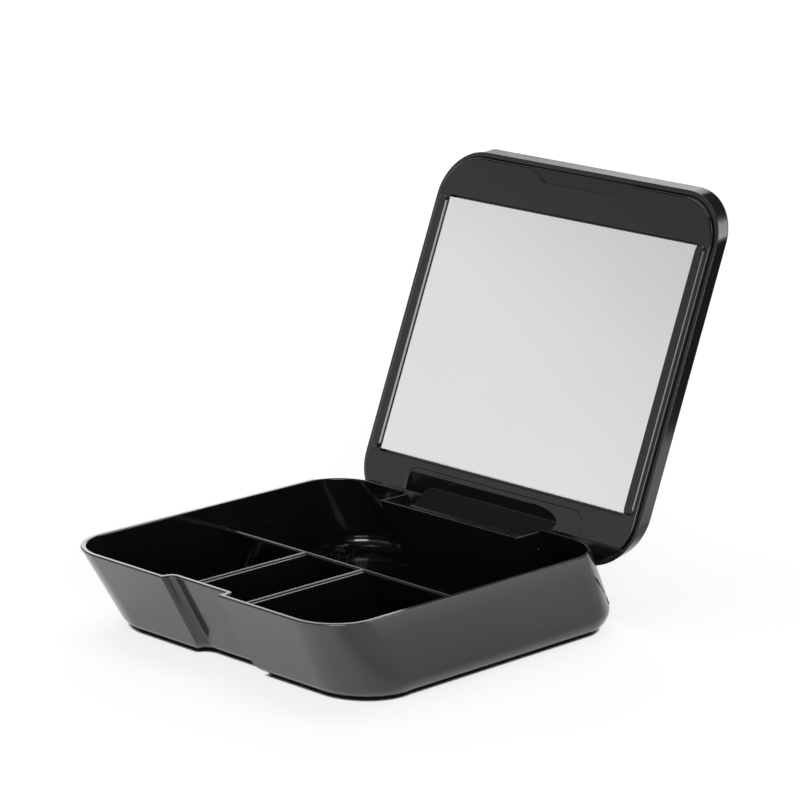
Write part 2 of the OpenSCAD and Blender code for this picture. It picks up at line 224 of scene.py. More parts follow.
def leaning(name, plan, z0, z1):
    """Column over a plan drawn at the rim that leans with the tray walls."""
    return loft(name, [np.array([(x, y + SLOPE * (TRAY_H - z), z) for x, y in plan]) for z in (z0, z1)])


def along_x(name, profile, x0, x1):
    """A profile of (y, z) points drawn out along X."""
    return loft(name, [np.array([(x, y, z) for y, z in profile]) for x in (x0, x1)])


def on_axis(name, radius, x0, x1, chamfer=0.0):
    """A round bar on the hinge axis."""
    steps = [(x0, radius), (x1, radius)]
    if chamfer:
        end = radius - chamfer
        steps = [(x0, end), (x0 + chamfer, radius), (x1 - chamfer, radius), (x1, end)]
    turn = np.linspace(0, 2 * math.pi, BAR_STEPS, endpoint=False)
    y, z = np.cos(turn), np.sin(turn)
    rings = [np.stack([np.full(BAR_STEPS, x), AXIS_Y + r * y, AXIS_Z + r * z], 1) for x, r in steps]
    return loft(name, rings)


def bores(radius, x0, x1):
    """The holes for both pins, between two distances from the middle."""
    return [on_axis("bore", radius, -x1, -x0), on_axis("bore", radius, x0, x1)]


def outline(w, d, r, cy, inset, z, n=ARC):
    """A corner-rounded ring at height z, made smaller on every side by inset."""
    ring = []
    for q, (sx, sy) in enumerate(((1, 1), (-1, 1), (-1, -1), (1, -1))):
        a = math.pi / 2 * q + np.linspace(0, math.pi / 2, n + 1)
        ring.append(np.stack([sx * (w / 2 - r) + (r - inset) * np.cos(a),
                              cy + sy * (d / 2 - r) + (r - inset) * np.sin(a), np.full(n + 1, z)], 1))
    return np.concatenate(ring)


def column(name, w, d, r, cy, z0, z1, cx=0.0):
    """A straight column with rounded corners."""
    rings = [outline(w, d, r, cy, 0, z, COLUMN_ARC) for z in (z0, z1)]
    for ring in rings:
        ring[:, 0] += cx
    return loft(name, rings)


def quarter(n):
    """Angles of a quarter turn in n points."""
    return np.radians(np.linspace(0.0, 90.0, n))


def drop(obj):
    """Deletes an object and its mesh."""
    mesh = obj.data
    bpy.data.objects.remove(obj)
    bpy.data.meshes.remove(mesh)


def settle(obj):
    """Applies the object's modifiers."""
    dg = bpy.context.evaluated_depsgraph_get()
    mesh = bpy.data.meshes.new_from_object(obj.evaluated_get(dg))
    old = obj.data
    obj.modifiers.clear()
    obj.data = mesh
    bpy.data.meshes.remove(old)


def combine(obj, tools, operation):
    """Exact boolean with each tool, which is used up."""
    for tool in tools:
        m = obj.modifiers.new("b", "BOOLEAN")
        m.operation = operation
        m.solver = "EXACT"
        m.object = tool
        settle(obj)
        drop(tool)
    return obj


def join(obj, others):
    """Adds the others' meshes to the object's as they are."""
    bm = bmesh.new()
    for o in [obj, *others]:
        bm.from_mesh(o.data)
    bm.to_mesh(obj.data)
    bm.free()
    for o in others:
        drop(o)


def opened(obj):
    """Turns a piece of the closed lid to the open rest position."""
    t = math.radians(-OPEN_ANGLE)
    v = np.array([p.co[:] for p in obj.data.vertices])
    y, z = v[:, 1] - AXIS_Y * MM, v[:, 2] - AXIS_Z * MM
    v[:, 1] = AXIS_Y * MM + y * math.cos(t) - z * math.sin(t)
    v[:, 2] = AXIS_Z * MM + y * math.sin(t) + z * math.cos(t)
    obj.data.vertices.foreach_set("co", v.ravel())
    obj.data.update()
    return obj


def soften(obj, width=0.0):
    """Rounds the hard edges by a small width and smooths the shading."""
    bm = bmesh.new()
    bm.from_mesh(obj.data)
    bmesh.ops.remove_doubles(bm, verts=bm.verts, dist=2e-6)
    bmesh.ops.recalc_face_normals(bm, faces=bm.faces)
    bm.to_mesh(obj.data)
    bm.free()
    if width:
        m = obj.modifiers.new("bevel", "BEVEL")
        m.width = width * MM
        m.segments = SOFT_STEPS
        m.limit_method = "ANGLE"
        m.angle_limit = HARD_EDGE
        m.use_clamp_overlap = False
        m.harden_normals = False
        settle(obj)
    obj.data.shade_smooth()
    obj.data.set_sharp_from_angle(angle=SHARP_SHADE)
    m = obj.modifiers.new("normals", "WEIGHTED_NORMAL")
    m.keep_sharp = True
    m.weight = 60
    settle(obj)
    return obj


# Materials

class Tree:
    """A node tree with short calls."""

    def __init__(self, tree):
        self.tree = tree

    def add(self, kind, sockets=None, **values):
        """A new node, with values for its sockets and its own settings."""
        node = self.tree.nodes.new("ShaderNode" + kind)
        for key, value in values.items():
            setattr(node, key, value)
        for key, value in (sockets or {}).items():
            self.feed(node.inputs[key], value)
        return node

    def feed(self, socket, value):
        """Links the socket to another node's output, or sets it to a plain value."""
        if isinstance(value, bpy.types.NodeSocket):
            self.tree.links.new(value, socket)
        else:
            socket.default_value = value

    def ranged(self, source, low, high, to_low, to_high):
        sockets = {"Value": source, "From Min": low, "From Max": high, "To Min": to_low, "To Max": to_high}
        return self.add("MapRange", sockets).outputs["Result"]

    def math(self, operation, a, b):
        return self.add("Math", {0: a, 1: b}, operation=operation).outputs[0]

    def ramp(self, source, levels):
        """Grey levels along the source, as (place, level) pairs."""
        node = self.add("ValToRGB", {"Fac": source})
        while len(node.color_ramp.elements) < len(levels):
            node.color_ramp.elements.new(0.5)
        for element, (place, level) in zip(node.color_ramp.elements, levels):
            element.position = place
            element.color = (level, level, level, 1)
        return node.outputs["Color"]

    def mixed(self, factor, a, b):
        """A colour between a and b."""
        return self.add("Mix", {"Factor": factor, "A": a, "B": b}, data_type="RGBA").outputs["Result"]

    def mixed_shader(self, factor, a, b):
        return self.add("MixShader", {0: factor, 1: a, 2: b}).outputs[0]

    def added_shader(self, a, b):
        return self.add("AddShader", {0: a, 1: b}).outputs[0]

    def axes(self, coordinates):
        """X, Y and Z of one of the texture coordinates."""
        place = self.add("TexCoord").outputs[coordinates]
        return self.add("SeparateXYZ", {0: place}).outputs


class Nodes(Tree):
    """A material's node tree, with patterns that lie in the object's own place."""

    def __init__(self, name):
        self.mat = bpy.data.materials.new(name)
        self.mat.use_nodes = True
        super().__init__(self.mat.node_tree)
        self.shader = self.tree.nodes["Principled BSDF"]
        self.place = self.add("TexCoord").outputs["Object"]

    def set(self, name, value):
        self.feed(self.shader.inputs[name], value)

    def noise(self, scale, detail=4.0, rough=0.55, stretch=None):
        place = self.place
        if stretch:
            place = self.add("Mapping", {"Vector": place, "Scale": stretch}).outputs["Vector"]
        sockets = {"Vector": place, "Scale": scale, "Detail": detail, "Roughness": rough}
        return self.add("TexNoise", sockets).outputs["Fac"]

    def specks(self, scale, size, share):
        """Small round dots scattered over the surface: 1 in a dot, 0 elsewhere."""
        cell = self.add("TexVoronoi", {"Vector": self.place, "Scale": scale}, feature="F1")
        near = self.ranged(cell.outputs["Distance"], size * 0.6, size, 1.0, 0.0)
        split = self.add("SeparateColor", {"Color": cell.outputs["Color"]})
        chosen = self.math("LESS_THAN", split.outputs["Red"], share)
        return self.math("MULTIPLY", near, chosen)

    def lying(self, source):
        """Keeps the source only on faces that look up."""
        facing = self.add("SeparateXYZ", {0: self.add("NewGeometry").outputs["Normal"]})
        return self.math("MULTIPLY", source, self.ranged(facing.outputs["Z"], 0.7, 0.95, 0.0, 1.0))

    def bump(self, height, strength, distance):
        node = self.add("Bump", {"Strength": strength, "Distance": distance, "Height": height})
        self.set("Normal", node.outputs["Normal"])


def grey(level, blue=0.0):
    return (level, level, level + blue, 1)


def plastic(name, color, dust, rough, spread, speck_share, ior, grain, settled=0.0):
    """Moulded plastic: uneven gloss, a fine skin, specks of dust and faint rub marks."""
    n = Nodes(name)
    n.set("IOR", ior)
    specks = n.specks(260.0, 0.035, speck_share)
    if settled:
        patchy = n.ranged(n.noise(30.0), 0.4, 0.65, 0.0, 1.0)
        grit = n.math("MAXIMUM", n.specks(900.0, 0.22, settled), n.specks(420.0, 0.12, settled))
        specks = n.math("MAXIMUM", specks, n.lying(n.math("MULTIPLY", grit, patchy)))
    n.set("Base Color", n.mixed(specks, color, dust))
    cloud = n.ranged(n.noise(38.0), 0.35, 0.7, rough - spread, rough + spread)
    rubs = n.ranged(n.noise(900.0, 2.0, 0.5, (1.0, 0.04, 0.3)), 0.62, 0.74, 0.0, spread)
    n.set("Roughness", n.math("ADD", cloud, rubs))
    n.bump(n.noise(2600.0, 2.0), grain, 0.00002)
    return n.mat


def silvered(name):
    """Mirror glass seen from the front, with the faintest haze of handling."""
    n = Nodes(name)
    n.set("Metallic", 1.0)
    haze = n.ranged(n.noise(22.0, 5.0), 0.5, 0.75, 0.0, 1.0)
    n.set("Base Color", n.mixed(haze, (0.905, 0.91, 0.905, 1), (0.89, 0.893, 0.89, 1)))
    n.set("Roughness", n.ranged(n.noise(30.0, 6.0), 0.5, 0.8, 0.0, 0.03))
    return n.mat


def ground_edge(name):
    """The seamed, frosted edge of the mirror glass."""
    n = Nodes(name)
    grain = n.noise(1800.0, 3.0)
    n.set("Base Color", n.mixed(grain, (0.9, 0.91, 0.9, 1), (0.98, 0.985, 0.98, 1)))
    n.set("Roughness", n.ranged(grain, 0.3, 0.7, 0.3, 0.5))
    n.bump(grain, 0.1, 0.00003)
    return n.mat


def steel(name):
    """Turned steel, painted near black: painted shade that keeps the pin ends from showing a highlight."""
    n = Nodes(name)
    n.set("Metallic", 1.0)
    turned = n.noise(1500.0, 3.0, 0.5, (1.0, 0.1, 0.1))
    n.set("Base Color", n.mixed(turned, grey(0.03, 0.002), grey(0.05, 0.002)))
    n.set("Roughness", n.ranged(turned, 0.3, 0.7, 0.22, 0.36))
    n.bump(turned, 0.08, 0.00003)
    return n.mat


def foam(name):
    """Pale open foam."""
    n = Nodes(name)
    pores = n.noise(1400.0, 5.0)
    n.set("Base Color", n.mixed(pores, grey(0.55, -0.02), grey(0.8, -0.02)))
    n.set("Roughness", n.ranged(pores, 0.3, 0.7, 0.8, 0.95))
    n.bump(pores, 0.4, 0.0002)
    return n.mat


# One plastic in two copies: the inside is painted far darker than the outside, as painted shade
outside = plastic("tray_outside", color=(0.021, 0.0195, 0.025, 1), dust=grey(0.08), rough=0.13, spread=0.035,
                  speck_share=0.25, ior=1.66, grain=0.03)
inside = plastic("tray_inside_shaded", color=grey(0.005, 0.0005), dust=grey(0.2), rough=0.12, spread=0.03,
                 speck_share=0.5, ior=1.55, grain=0.02, settled=0.7)
shell_black = plastic("shell_gloss", color=grey(0.008, 0.0005), dust=grey(0.12), rough=0.14, spread=0.04,
                      speck_share=0.3, ior=1.5, grain=0.02)
liner_black = plastic("liner_gloss", color=grey(0.007, 0.0005), dust=grey(0.12), rough=0.1, spread=0.015,
                      speck_share=0.3, ior=1.5, grain=0.004)
strip_black = plastic("strip_gloss", color=grey(0.008, 0.0005), dust=grey(0.1), rough=0.12, spread=0.01,
                      speck_share=0.2, ior=1.5, grain=0.004)
mirror_silver = silvered("mirror_silver")
glass_edge = ground_edge("glass_edge")
# The pins' steel is painted near black, as painted shade
pin_metal_darkened = steel("pin_metal_darkened")
pad_white = foam("pad_white")


def dress(obj, slot, body, nodes, *mats):
    """Gives a piece its materials, the body it rides on and the nodes it replaces. The slot is not used."""
    for mat in mats:
        obj.data.materials.append(mat)
    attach(obj, body)
    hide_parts(*nodes)


# Tray

def tray_size(z):
    """Width, depth, corner radius and centre of the tray's outline at height z."""
    up = (z - BASE_H) / BODY_H
    return FOOT_W + FOOT_IN_X * up, FOOT_D + FOOT_IN_Y * up, FOOT_R + (RIM_R - FOOT_R) * up, -LEAN * up


def fillet_inset(m, r, u):
    """Inset at height u of a ball of radius r that is rolled into the foot of a wall.

    The wall moves outwards by m per unit of height.
    """
    q = np.sqrt(1 + m * m)
    ball = m * u - (m * r - r * q) - np.sqrt(np.maximum(0, r * r - (r - u) ** 2))
    return np.where(u < r * (1 - m / q), ball, 0.0)


def eased(p, d_in, d_out, radius):
    """Small arc in place of the sharp corner at p, between two directions."""
    angle = math.acos(float(np.dot(d_in, d_out)))
    t = radius * math.tan(angle / 2)
    side = np.sign(d_in[0] * d_out[1] - d_in[1] * d_out[0])
    centre = p - d_in * t + side * radius * np.array([-d_in[1], d_in[0]])
    x, y = p - d_in * t - centre
    turn = np.linspace(0, side * angle, EDGE_STEPS)
    return centre + np.stack([x * np.cos(turn) - y * np.sin(turn), x * np.sin(turn) + y * np.cos(turn)], 1)


def tray_ring(z, base, inset_of, tight):
    """Level outline of the tray with the finger recess.

    inset_of(m) is what is rolled off at this level from a wall that moves outwards by m per unit of height.
    """
    w, d, r, cy = tray_size(z)

    def inset(a):
        return base + inset_of(-SLOPE * np.sin(a))

    def corner(q, sx, sy):
        a = math.pi / 2 * q + np.linspace(0, math.pi / 2, ARC + 1)
        k = inset(a)
        x, y = sx * (w / 2 - r), cy + sy * (d / 2 - r)
        return np.stack([x + (r - k) * np.cos(a), y + (r - k) * np.sin(a)], 1)

    def pushed(centre, radius, a0, a1, n):
        """Concave arc about a centre outside the wall. Angles are those of the wall's outward normal."""
        a = np.radians(np.linspace(a0, a1, n))
        k = inset(a)
        return np.stack([centre[0] - (radius + k) * np.cos(a), centre[1] - (radius + k) * np.sin(a)], 1)

    front = cy - d / 2
    back = front + RECESS_T
    k_front = base + float(inset_of(np.array(SLOPE)))
    k_side = base + float(inset_of(np.array(0.0)))
    # The sloping left shoulder as a line: its direction, its outward normal and where it starts
    run, rise = RECESS_SHOULDER
    size = math.hypot(run, rise)
    along = np.array([run, rise]) / size
    normal = np.array([rise, -run]) / size
    k_left = base + float(inset_of(np.array(SLOPE * run / size)))
    foot = np.array([RECESS_X0, front])
    turn = math.degrees(math.atan2(rise, run))
    # The soft inner corner: its centre is one radius from both lines, on the open side
    top = foot + along * RECESS_T * size / rise
    reach = RECESS_SOFT * math.tan(math.radians(turn / 2))
    soft_c = top + np.array([reach, -RECESS_SOFT])
    tight_c = np.array([RECESS_X1 - RECESS_TIGHT, back - RECESS_TIGHT])

    x_dir, y_dir = np.array([1.0, 0.0]), np.array([0.0, 1.0])
    shoulder = foot - normal * k_left
    face = front + k_front
    s = (face - shoulder[1]) / along[1]
    left_edge = eased(shoulder + along * s, x_dir, along, tight)
    right_edge = eased(np.array([RECESS_X1 + k_side, face]), -y_dir, x_dir, tight)
    soft = pushed(soft_c, RECESS_SOFT, turn - 90, -90, 15)
    hard = pushed(tight_c, RECESS_TIGHT, -90, -180, 13)
    before, after = [[left_edge[0][0] - RECESS_GUARD, face]], [[right_edge[-1][0] + RECESS_GUARD, face]]
    chain = np.concatenate([before, left_edge, soft, hard, right_edge, after])
    plan = np.concatenate([corner(0, 1, 1), corner(1, -1, 1), corner(2, -1, -1), chain, corner(3, 1, -1)])
    return np.column_stack([plan, np.full(len(plan), z)])


def foot_rings(z0, base, r, tight):
    """Rings up the rounded foot of the walls."""
    rings = []
    for angle in np.radians(np.linspace(0, ROLL_END, ROLL_STEPS)):
        u = r * (1 - math.cos(angle))
        rings.append(tray_ring(z0 + u, base, lambda m, u=u: fillet_inset(m, r, u), tight))
    return rings


def rim_rings(base, r, sign, tight):
    """Rings over the rounded edge of the rim, from its flat top down. sign is 1 outside and -1 inside."""
    rings = []
    for angle in np.radians(np.linspace(0, ROLL_END, RIM_STEPS)):
        u = r * (1 - math.cos(angle))
        rings.append(tray_ring(TRAY_H - u, base, lambda m, u=u: sign * fillet_inset(-sign * m, r, u), tight))
    return rings


def tray_core():
    """The space up to about the middle of the tray's walls and floor, to which what stands in it is cut."""
    rings = foot_rings(BASE_H + BURIED, BURIED, EDGE_R - BURIED, CORE_TIGHT)
    rings.append(tray_ring(TRAY_H - CORE_DROP, BURIED, lambda m: 0 * m, CORE_TIGHT))
    return loft("core", rings)


def rib_profile(tilt):
    """Section of a divider as (across, up) points: the top falls to one side, the foot is slightly wider."""
    h = RIB_T / 2
    fall = math.tan(math.radians(tilt))
    right = [(h - RIB_ROUND + RIB_ROUND * math.cos(t), RIB_TOP - RIB_ROUND + RIB_ROUND * math.sin(t))
             for t in quarter(13)]
    over = [(x, z - fall * x - abs(fall) * h) for x, z in right + [(-x, z) for x, z in right[::-1]]]
    return [(h + RIB_DRAFT, RIB_FOOT)] + over + [(-h - RIB_DRAFT, RIB_FOOT)]


def leant(y, z):
    """Place of a divider's point, for a y given at the divider's top."""
    return y - SLOPE * (z - RIB_TOP)


def dividers():
    """The long divider and the two short ones in front of it."""
    across = [(leant(RIB_MID, z) + y, z) for y, z in rib_profile(-LONG_TILT)]
    ribs = [along_x("long_rib", across, -CASE_W / 2, CASE_W / 2)]
    for x_rib in (RIB_LEFT_X, RIB_RIGHT_X):
        ends = [np.array([(x_rib + x, leant(y, z), z) for x, z in rib_profile(SHORT_TILT)])
                for y in (RIB_MID, RIM_FRONT + RIB_END)]
        ribs.append(loft("short_rib", ends))
    return ribs


def back_panel():
    """What is cut off the back, so that it lies a little below the rim and wraps round the rear corners."""
    panel_y = RIM_BACK - PANEL_SIDE
    turn_y = panel_y + SLOPE * PANEL_TURN
    profile = [(panel_y - SLOPE * PAST, TRAY_H + PAST), (turn_y, TRAY_H - PANEL_TURN),
               (turn_y + PANEL_DROP - PANEL_TURN, PANEL_Z), (CASE_D, PANEL_Z), (CASE_D, TRAY_H + PAST)]
    panel = along_x("panel", profile, -CASE_W / 2 - PAST, CASE_W / 2 + PAST)
    rings = []
    for z in (PANEL_Z - PAST, TRAY_H + 2 * PAST):
        rings.append(outline(*tray_size(z), PANEL_T * (z - PANEL_Z) / PANEL_DROP, z))
    return combine(panel, [loft("panel_keep", rings)], "DIFFERENCE")


def base_pad():
    """The slightly raised flat base."""
    w, d, r = FOOT_W - 2 * BASE_IN, FOOT_D - 2 * BASE_IN, FOOT_R - BASE_IN
    steps = ((0, BASE_EASE), (BASE_EASE, 0), (BASE_H + PAST, 0))
    return loft("foot_pad", [outline(w, d, r, 0, inset, z) for z, inset in steps])


def split_outside(obj):
    """Gives the outer faces the second material, the lighter copy of the plastic: those in the skin, in the
    recess or under the body. The other faces keep the first, darker copy, whose darkness is painted shade.
    """
    skin_t, body_t = 1.0, 0.6
    notch_side, notch_deep = 9.0, 14.0
    for poly in obj.data.polygons:
        x, y, z = (c / MM for c in poly.center)
        w, d, r, cy = tray_size(z)
        px, py = abs(x) - (w / 2 - r), abs(y - cy) - (d / 2 - r)
        depth = r - math.hypot(max(px, 0), max(py, 0)) - min(max(px, py), 0)
        nx, ny, nz = poly.normal
        outward = nx * x + ny * (y - cy) > 0 or nz < -0.3
        wall = nz < 0.5
        beside = RECESS_X0 - notch_side < x < RECESS_X1 + notch_side and y < cy - d / 2 + notch_deep
        in_notch = beside and ny < 0.3 and z < TRAY_H - 0.5
        shallow = depth < RECESS_T + body_t or (depth < RECESS_T + notch_side and z < BASE_H + EDGE_R)
        skin = depth < skin_t and wall
        notch = in_notch and shallow and wall
        under = z < FLOOR_Z - 0.5 and nz < 0.2
        poly.material_index = 1 if ((skin or notch) and outward) or under else 0


def build_tray():
    outer = foot_rings(BASE_H, 0.0, EDGE_R, RECESS_EDGE) + rim_rings(0.0, RIM_ROUND, 1, RECESS_EDGE)[::-1]
    inner = rim_rings(WALL_T, RIM_ROUND, -1, RECESS_EDGE_IN)
    inner += foot_rings(FLOOR_Z, WALL_T, EDGE_R - FLOOR_T, RECESS_EDGE_IN)[::-1]
    tray = loft("tray_moulding", outer + inner)
    around = oblong(-PIN_OUT, PIN_OUT, NICHE_FRONT - NICHE_T, RIM_BACK)
    standing = [*dividers(), leaning("niche_block", around, RIB_FOOT, NICHE_TOP)]
    for piece in standing:
        combine(piece, [tray_core()], "INTERSECT")
    combine(tray, [*standing, base_pad()], "UNION")
    open_back = RIM_BACK + 3 * PAST
    hollow = oblong(-NICHE_HALF, NICHE_HALF, NICHE_FRONT, open_back)
    niche = leaning("niche_cut", hollow, FLOOR_Z, TRAY_H + PAST)
    lowered = box("niche_top", (-PIN_OUT, NICHE_FRONT - NICHE_T - PAST, NICHE_TOP),
                  (PIN_OUT, open_back, TRAY_H + 2 * PAST))
    pin_holes = bores(PIN_D / 2, NICHE_HALF - PAST, PIN_OUT + PAST)
    combine(tray, [niche, lowered, back_panel(), *pin_holes], "DIFFERENCE")
    soften(tray, TRAY_SOFT)
    dress(tray, "tray_plastic", "case", ["tray"], inside, outside)
    split_outside(tray)


def build_pins():
    for side, node in ((-1, "hinge_pin_left"), (1, "hinge_pin_right")):
        x0, x1 = sorted((side * PIN_IN, side * PIN_OUT))
        pin = soften(on_axis("pin_" + ("left" if side < 0 else "right"), PIN_D / 2, x0, x1, PIN_CHAMFER))
        dress(pin, "pin_steel", "case", [node], pin_metal_darkened)


# Lid

def lid_ring(z, inset):
    return outline(CASE_W, CASE_D, RIM_R, RIM_Y + SLOPE * (SEAM_Z - z), inset, z)


def boss(x, y):
    """Round post between the lining and the cover."""
    turn = np.linspace(0, 2 * math.pi, BOSS_STEPS, endpoint=False)
    plan = [(x + BOSS_D / 2 * math.cos(t), y + BOSS_D / 2 * math.sin(t)) for t in turn]
    return upright("boss", plan, LINER_TOP, CEILING + LID_WALL / 2)


def build_shell():
    """The cover: inner wall down to a rounded lip, outer wall up to a rounded top edge."""
    rings = [lid_ring(CEILING, LID_IN + LID_WALL + LID_DRAFT)]
    for t in quarter(5):
        rings.append(lid_ring(SEAM_Z + LID_LIP * (1 - math.sin(t)),
                              LID_IN + LID_WALL - LID_LIP * (1 - math.cos(t))))
    for t in quarter(5):
        rings.append(lid_ring(SEAM_Z + LID_LIP * (1 - math.cos(t)), LID_IN + LID_LIP * (1 - math.sin(t))))
    for t in quarter(13):
        rings.append(lid_ring(LID_TOP - LID_EDGE * (1 - math.sin(t)),
                              LID_IN + LID_IN / 2 + LID_EDGE * (1 - math.cos(t))))
    shell = loft("lid_cover", rings)
    join(shell, [boss(sx * CASE_W / 3, RIM_Y + sy * CASE_D / 3) for sx in (-1, 1) for sy in (-1, 1)])
    soften(opened(shell))
    dress(shell, "shell_plastic", "lid", ["lid_shell"], shell_black)


def scoop():
    """The scoop in the pocket: its floor slopes down to the ridge, and its right end is broadly rounded."""
    far = LINER_REAR + SCOOP_PAST
    right = [(SCOOP_X1 - SCOOP_RUN * (1 - math.cos(t)), SCOOP_Y + SCOOP_R * (1 - math.sin(t)))
             for t in quarter(13)]
    left = [(SCOOP_X0 + SCOOP_TIGHT * (1 - math.sin(t)), SCOOP_Y + SCOOP_TIGHT * (1 - math.cos(t)))
            for t in quarter(13)]
    plan = [(SCOOP_X0, far), *left[::-1], *right[::-1], (SCOOP_X1, far)]
    steep = (POCKET_Z - LINER_Z - POCKET_LIP) / (RIDGE_Y - SCOOP_Y)
    return loft("scoop", [np.array([(x, y, LINER_Z - PAST) for x, y in plan]),
                          np.array([(x, y, LINER_Z + POCKET_LIP + steep * (y - SCOOP_Y)) for x, y in plan])])


def relief():
    """Room in the lining for the wall of the finger recess."""
    grow = WALL_T + RELIEF_GAP
    x0, x1 = RECESS_X0 - grow, RECESS_X1 + grow
    y1 = RIM_FRONT + RECESS_T + grow + SLOPE * (SEAM_Z - LINER_Z)
    plan = [(x0 - RELIEF_RUN, RIM_FRONT), (x1 + RELIEF_RUN, RIM_FRONT), (x1, y1), (x0, y1)]
    return upright("relief", plan, LINER_Z - PAST, SEAM_Z)


def at_barrel(degrees, sign):
    """Point on the barrel's round, in front of the axis when sign is -1 and behind it when sign is 1."""
    t = math.radians(degrees)
    return AXIS_Y + sign * BARREL_R * math.cos(t), AXIS_Z + BARREL_R * math.sin(t)


def hinge_arm():
    """The arm from the pocket's ridge to the barrel."""
    front = RIDGE_Y - RIDGE_LEN
    profile = [(front, POCKET_Z), (RIDGE_Y, MIRROR_Z), at_barrel(ARM_ROOT, -1), (AXIS_Y, AXIS_Z),
               at_barrel(ARM_HEEL, 1), (LINER_REAR + ARM_T / 4, LINER_TOP), (front, LINER_TOP)]
    arm = along_x("arm", profile, -BARREL_HALF, BARREL_HALF)
    return combine(arm, [on_axis("barrel", BARREL_R, -BARREL_HALF, BARREL_HALF)], "UNION")


def strip_column(name, z0, z1, side):
    return column(name, STRIP_W, STRIP_L, STRIP_END_R, MIRROR_Y, z0, z1, side * STRIP_X)


def build_liner():
    """The lining: rounded edge, well, pocket, relief, hinge arm, and the seats of the strips."""
    rings = [lid_ring(LINER_Z + LINER_EDGE * (1 - math.cos(t)), LINER_IN + LINER_EDGE * (1 - math.sin(t)))
             for t in quarter(11)]
    liner = loft("lid_lining", [*rings, lid_ring(LINER_TOP, LINER_IN)])
    under = LINER_Z - PAST
    behind = box("rear", (-CASE_W, LINER_REAR, LINER_Z - 2 * PAST),
                 (CASE_W, LINER_REAR + CASE_D, LINER_TOP + 2 * PAST))
    well = column("well", MIRROR_W + 2 * STRIP_GAP, MIRROR_L + 2 * GROOVE, WELL_R, MIRROR_Y, under, WEB_Z)
    pocket = column("pocket", POCKET_W, 2 * POCKET_D, POCKET_R, LINER_REAR, under, LINER_Z + POCKET_LIP)
    combine(liner, [behind, well, pocket, scoop(), relief()], "DIFFERENCE")
    combine(liner, [hinge_arm()], "UNION")
    combine(liner, bores(PIN_D / 2 + PIN_GAP, PIN_IN - PIN_END_GAP, BARREL_HALF + PAST), "DIFFERENCE")
    soften(liner, LINER_SOFT)
    combine(liner, [strip_column("seat", under, STRIP_TOP, side) for side in (-1, 1)], "DIFFERENCE")
    soften(opened(liner))
    dress(liner, "liner_plastic", "lid", ["lid_liner"], liner_black)


def plate_ring(z, f):
    """Level rectangle of the glass, drawn in on each side by fraction f of that side's seam."""
    x0, x1 = -MIRROR_W / 2 + f * SEAMED["left"], MIRROR_W / 2 - f * SEAMED["right"]
    y0, y1 = MIRROR_Y - MIRROR_L / 2 + f * SEAMED["front"], MIRROR_Y + MIRROR_L / 2 - f * SEAMED["rear"]
    return np.array([(x1, y1, z), (x0, y1, z), (x0, y0, z), (x1, y0, z)])


def build_mirror():
    """The glass with a seamed edge, and the pad behind it."""
    levels = ((MIRROR_Z, 1), (MIRROR_Z + SEAM_UP, 0), (PAD_Z, 0))
    glass = loft("mirror_plate", [plate_ring(z, f) for z, f in levels])
    opened(glass)
    glass.data.shade_flat()
    dress(glass, "mirror", "lid", ["mirror_glass"], mirror_silver, glass_edge)
    face = np.array([0, -math.sin(math.radians(OPEN_ANGLE)), -math.cos(math.radians(OPEN_ANGLE))])
    for poly in glass.data.polygons:
        poly.material_index = 0 if abs(float(np.dot(poly.normal, face))) > 0.99 else 1
    w, d = MIRROR_W - 2 * PAD_IN, MIRROR_L - 2 * PAD_IN
    pad = column("mirror_backing", w, d, PAD_R, MIRROR_Y, PAD_Z, WEB_Z)
    soften(opened(pad))
    dress(pad, "pad_foam", "lid", ["mirror_pad"], pad_white)


def build_strips():
    """Strips beside the mirror: round ends, a broad eased edge."""
    steps = [(STRIP_Z + STRIP_EDGE * up, STRIP_EDGE * inset) for up, inset in STRIP_EASE]
    steps.append((STRIP_TOP, 0))
    for side, node in ((-1, "mirror_strip_left"), (1, "mirror_strip_right")):
        rings = [outline(STRIP_W, STRIP_L, STRIP_END_R, MIRROR_Y, inset, z, STRIP_ARC) for z, inset in steps]
        strip = loft("side_rail_" + ("left" if side < 0 else "right"), rings)
        for v in strip.data.vertices:
            v.co.x += side * STRIP_X * MM
        soften(opened(strip))
        dress(strip, "strip_plastic", "lid", [node], strip_black)


build_tray()
build_pins()
build_shell()
build_liner()
build_mirror()
build_strips()


# Floor, light and camera

